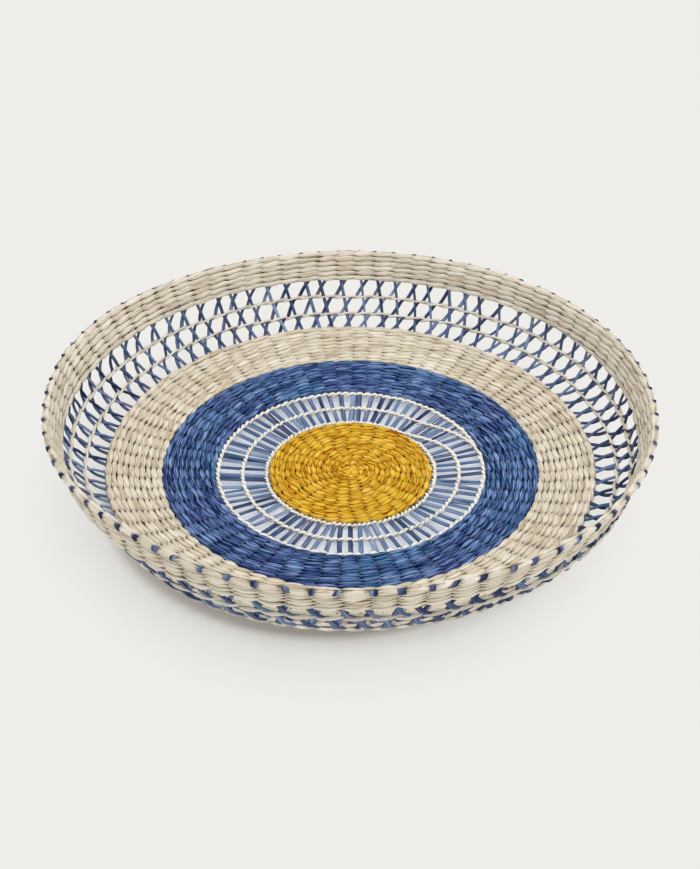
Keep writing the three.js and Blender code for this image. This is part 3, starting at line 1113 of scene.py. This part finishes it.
# Noise in the leaves: stretch along, across and from strand to strand, detail and roughness.
# The patches of dye lie in space, whatever strand is there
STREAK_NOISE = ((70, 1400, 3.1), 3.0, 0.6)
THREAD_NOISE = ((120, 5200, 5.3), 2.0, 0.5)
DYE_NOISE = ((22, 90, 7.7), 2.0, 0.5)
FOLD_NOISE = ((26, 1150, 9.1), 1.0, 0.4)
PATCH_NOISE = ((28, 28, 60), 2.0, 0.55)
THREAD_STRENGTH = 0.6
FOLD_START, FOLD_SHARPNESS = 0.57, 8.0
PAINTED_SHADE_DARKNESS = 0.26

# What the settings of each material say: how strong the streaks, the slow changes of dye, the folds,
# the tone and the tint of each stitch, the patches and the painted shade of tucked ends and edges are
STRENGTHS = ("streaks", "dye", "folds", "stitches", "tint", "patches", "shade")
FIBRE_OUTPUTS = {"Colour": "NodeSocketColor", "Roughness": "NodeSocketFloat", "Height": "NodeSocketFloat"}


def fibre_group():
    """The fibres of a flat leaf strand: streaks along it, slow changes of dye, and painted shade on tucked
    ends and edges.
    """
    tree = bpy.data.node_groups.get("Leaf Fibre")
    if tree:
        return tree
    tree = bpy.data.node_groups.new("Leaf Fibre", "ShaderNodeTree")
    for name in COLOUR_PARTS:
        tree.interface.new_socket(name, in_out="INPUT", socket_type="NodeSocketColor")
    for name in STRENGTHS:
        tree.interface.new_socket(name, in_out="INPUT", socket_type="NodeSocketFloat")
    for name, kind in FIBRE_OUTPUTS.items():
        tree.interface.new_socket(name, in_out="OUTPUT", socket_type=kind)
    given = tree.nodes.new("NodeGroupInput").outputs
    result = tree.nodes.new("NodeGroupOutput").inputs
    tone, tint, crevice_shade = (
        add_node(tree, "Attribute", attribute_name=name).outputs["Fac"] for name in ("tone", "tint", "crevice_shade")
    )
    grain = add_node(tree, "Attribute", attribute_name="grain").outputs["Vector"]
    streak = noise_node(tree, grain, *STREAK_NOISE)
    thread = noise_node(tree, grain, *THREAD_NOISE)
    slow = noise_node(tree, grain, *DYE_NOISE)
    fold = noise_node(tree, grain, *FOLD_NOISE)
    patch = noise_node(tree, add_node(tree, "TexCoord").outputs["Object"], *PATCH_NOISE)

    streaked = plus(tree, both_ways(tree, streak, given["streaks"]), both_ways(tree, slow, given["dye"]))
    stitched = times(tree, tone, given["stitches"])
    threaded = plus(tree, stitched, both_ways(tree, thread, THREAD_STRENGTH))
    light = times(tree, plus(tree, streaked, threaded), 2.0)
    stitch_tint = times(tree, tint, given["tint"])
    leaning = plus(tree, stitch_tint, both_ways(tree, patch, given["patches"]))
    one_way = limited(tree, leaning)
    other_way = limited(tree, times(tree, leaning, -1.0))
    tinted = mix_colours(tree, one_way, given["main"], given["first_tint"])
    body = mix_colours(tree, other_way, tinted, given["second_tint"])
    dark = mix_colours(tree, limited(tree, plus(tree, light, 1.0)), given["deep"], body)
    coloured = mix_colours(tree, limited(tree, light), dark, given["pale"])
    past_start = number_node(tree, "SUBTRACT", fold, FOLD_START)
    crease = times(tree, limited(tree, times(tree, past_start, FOLD_SHARPNESS)), given["folds"])
    folded = mix_colours(tree, crease, coloured, given["deep"])
    # Painted shade: the deepest fibre colour darkened, mixed in by the crevice shade
    painted_shade_colour = vector_node(tree, "MULTIPLY", given["deep"], (PAINTED_SHADE_DARKNESS, PAINTED_SHADE_DARKNESS, PAINTED_SHADE_DARKNESS))["Vector"]
    shaded = mix_colours(tree, times(tree, crevice_shade, given["shade"]), folded, painted_shade_colour)
    rough = plus(tree, times(tree, thread, 0.25), 0.48)
    height = plus(tree, times(tree, streak, 0.65), times(tree, thread, 0.35))
    feed(tree, result, {"Colour": shaded, "Roughness": rough, "Height": height})
    return tree


# The materials, by slot: kind of strand, strength of the relief, and the strengths listed above
LEAVES = {
    "yellow_seagrass": ("yellow", 0.5, (3.4, 0.9, 0.9, 0.06, 0.10, 2.2, 0.90)),
    "blue_seagrass": ("blue", 0.5, (3.2, 1.2, 0.9, 0.08, 0.14, 2.4, 0.95)),
    "blue_stakes": ("stake", 0.4, (1.4, 1.2, 0.3, 0.18, 0.35, 1.0, 0.60)),
    "natural_seagrass": ("natural", 0.5, (2.0, 0.8, 0.6, 0.08, 0.12, 1.8, 0.95)),
    "natural_cord": ("cord", 0.4, (0.9, 0.8, 0.2, 0.06, 0.15, 1.4, 0.35)),
    "cream_cord": ("cream", 0.4, (0.9, 0.8, 0.2, 0.06, 0.15, 1.4, 0.45)),
}
RELIEF_HEIGHT = 0.0004
LEAF_SHINE = 0.06


def leaf_material(slot):
    """A material of flat leaf strands in the colours of one kind of strand."""
    name = slot.replace("_", " ").title()
    material = bpy.data.materials.get(name)
    if material:
        return material
    material = bpy.data.materials.new(name)
    material.use_nodes = True
    tree = material.node_tree
    kind, relief, strengths = LEAVES[slot]
    colours = bpy.context.scene.basket_colours
    inputs = {part: (*getattr(colours, f"{kind}_{part}"), 1) for part in COLOUR_PARTS}
    inputs.update(zip(STRENGTHS, strengths))
    fibre = add_node(tree, "Group", inputs, node_tree=fibre_group()).outputs
    inputs = {"Strength": relief, "Distance": RELIEF_HEIGHT, "Height": fibre["Height"]}
    raised = add_node(tree, "Bump", inputs).outputs["Normal"]
    surface = {"Base Color": fibre["Colour"], "Roughness": fibre["Roughness"], "Normal": raised}
    surface["Specular IOR Level"] = LEAF_SHINE
    feed(tree, tree.nodes["Principled BSDF"].inputs, surface)
    return material


# Glow on the floor, as distance in metres and share: painted light under the gaps of the open band,
# and the glow around a point a little to the left of the middle, where the shade falls
SHADE_MIDDLE = (-0.015, -0.001, 0)
PAINTED_LIGHT_UNDER_GAPS = ((0.0, 1.0), (0.097, 1.0), (0.104, 0.0))
LIGHT_AROUND = ((0.0, 0.08), (0.152, 0.08), (0.159, 0.52), (0.170, 0.64), (0.214, 0.96))
PAINTED_GAP_LIGHT = 0.57
RAMP_REACH = 0.25
FLOOR_SIZE = 12

# The large lamp, and how far the camera stands to the left
LAMP_PLACE = (0.25, -0.30, 1.5)
LAMP_SIZE = 1.3
CAMERA_ASIDE = -0.00036


def ramp_node(tree, place, middle, steps):
    """A share that changes with the distance of a place on the floor from a point."""
    distance = vector_node(tree, "DISTANCE", place, middle)["Value"]
    ramp = add_node(tree, "ValToRGB", {"Fac": number_node(tree, "DIVIDE", distance, RAMP_REACH)})
    stops = ramp.color_ramp.elements
    while len(stops) < len(steps):
        stops.new(0.5)
    for stop, (reach, share) in zip(stops, steps):
        stop.position = reach / RAMP_REACH
        stop.color = (share, share, share, 1)
    return ramp.outputs["Color"]


class BASKET_OT_studio(Operator):
    """Lay the pale floor and set up the soft light and the camera"""

    bl_idname = "basket.studio"
    bl_label = "Studio"

    def execute(self, context):
        self.lay_floor(context)
        self.light(context)
        self.aim_camera(context)
        context.scene.view_settings.view_transform = "Standard"
        return {"FINISHED"}

    def lay_floor(self, context):
        """A wide floor that takes a soft shadow."""
        studio = context.scene.basket_studio
        bpy.ops.mesh.primitive_plane_add(size=FLOOR_SIZE)
        floor = context.object
        floor.name = "floor"
        material = bpy.data.materials.new("Pale Floor")
        material.use_nodes = True
        tree = material.node_tree
        floor_colour, painted_gap_light = (*studio.floor_colour, 1), (*studio.painted_gap_light, 1)
        surface = tree.nodes["Principled BSDF"]
        inputs = {"Base Color": floor_colour, "Roughness": 0.9, "Specular IOR Level": 0.0}
        feed(tree, surface.inputs, inputs)
        place = add_node(tree, "TexCoord").outputs["Object"]
        # Painted light: the floor glows more under the gaps of the open band, tinted a painted blue
        painted_light_under_gaps = ramp_node(tree, place, (0, 0, 0), PAINTED_LIGHT_UNDER_GAPS)
        around = ramp_node(tree, place, SHADE_MIDDLE, LIGHT_AROUND)
        freed = number_node(tree, "MAXIMUM", times(tree, painted_light_under_gaps, PAINTED_GAP_LIGHT), around)
        seen = add_node(tree, "LightPath").outputs["Is Camera Ray"]
        share = times(tree, times(tree, seen, freed), studio.floor_glow)
        glow = add_node(tree, "Emission", {"Color": mix_colours(tree, painted_light_under_gaps, floor_colour, painted_gap_light)})
        mix_shaders(tree, share, surface, glow, "Material Output")
        floor.data.materials.append(material)

    def light(self, context):
        """Even light from all around and one large soft lamp overhead."""
        studio = context.scene.basket_studio
        world = bpy.data.worlds.new("Studio")
        world.use_nodes = True
        tree = world.node_tree
        sky = tree.nodes["Background"]
        feed(tree, sky.inputs, {"Color": (1, 1, 1, 1), "Strength": studio.sky_strength})
        backdrop = add_node(tree, "Background", {"Color": (*studio.floor_colour, 1)})
        seen = add_node(tree, "LightPath").outputs["Is Camera Ray"]
        mix_shaders(tree, seen, sky, backdrop, "World Output")
        context.scene.world = world

        bpy.ops.object.light_add(type="AREA", location=LAMP_PLACE)
        lamp = context.object
        lamp.name = "key_lamp"
        lamp.data.shape = "DISK"
        lamp.data.size = LAMP_SIZE
        lamp.data.energy = studio.key_power
        away = lamp.location.normalized()
        lamp.rotation_euler = away.to_track_quat("Z", "Y").to_euler()

    def aim_camera(self, context):
        """The camera at the photograph's height and distance."""
        studio = context.scene.basket_studio
        height, far = studio.camera_height, studio.camera_distance
        place = (CAMERA_ASIDE, -far * math.cos(height), studio.aim_height + far * math.sin(height))
        bpy.ops.object.camera_add(location=place, rotation=(math.pi / 2 - height, 0, 0))
        camera = context.object
        camera.name = "camera"
        camera.data.lens = studio.lens
        context.scene.camera = camera


class BASKET_PT_panel(Panel):
    """The basket's pieces, sizes and colours"""

    bl_idname = "BASKET_PT_panel"
    bl_label = "Seagrass Basket"
    bl_space_type = "VIEW_3D"
    bl_region_type = "UI"
    bl_category = "Basket"

    def draw(self, context):
        layout = self.layout
        for operator in OPERATORS:
            layout.operator(operator.bl_idname)
        for name in GROUPS:
            settings = getattr(context.scene, name)
            box = layout.box()
            for entry in settings.__annotations__:
                box.prop(settings, entry)


OPERATORS = (
    BASKET_OT_centre,
    BASKET_OT_twine_bands,
    BASKET_OT_open_stakes,
    BASKET_OT_twine_cords,
    BASKET_OT_lattice_stakes,
    BASKET_OT_rim_tips,
    BASKET_OT_studio,
)
GROUPS = {
    "basket_weave": WeaveSizes,
    "basket_stakes": StakeSizes,
    "basket_colours": StrandColours,
    "basket_studio": StudioSettings,
}


def register():
    """Makes the settings, operators and panel known to Blender."""
    for name, group in GROUPS.items():
        bpy.utils.register_class(group)
        setattr(bpy.types.Scene, name, PointerProperty(type=group))
    for operator in OPERATORS:
        bpy.utils.register_class(operator)
    bpy.utils.register_class(BASKET_PT_panel)


def unregister():
    """Takes the panel, operators and settings away again."""
    bpy.utils.unregister_class(BASKET_PT_panel)
    for operator in reversed(OPERATORS):
        bpy.utils.unregister_class(operator)
    for name, group in reversed(list(GROUPS.items())):
        delattr(bpy.types.Scene, name)
        bpy.utils.unregister_class(group)


def main():
    """Builds the basket and its studio."""
    register()
    bpy.ops.basket.centre()
    bpy.ops.basket.twine_bands()
    bpy.ops.basket.open_stakes()
    bpy.ops.basket.twine_cords()
    bpy.ops.basket.lattice_stakes()
    bpy.ops.basket.rim_tips()
    bpy.ops.basket.studio()


if __name__ == "__main__":
    main()
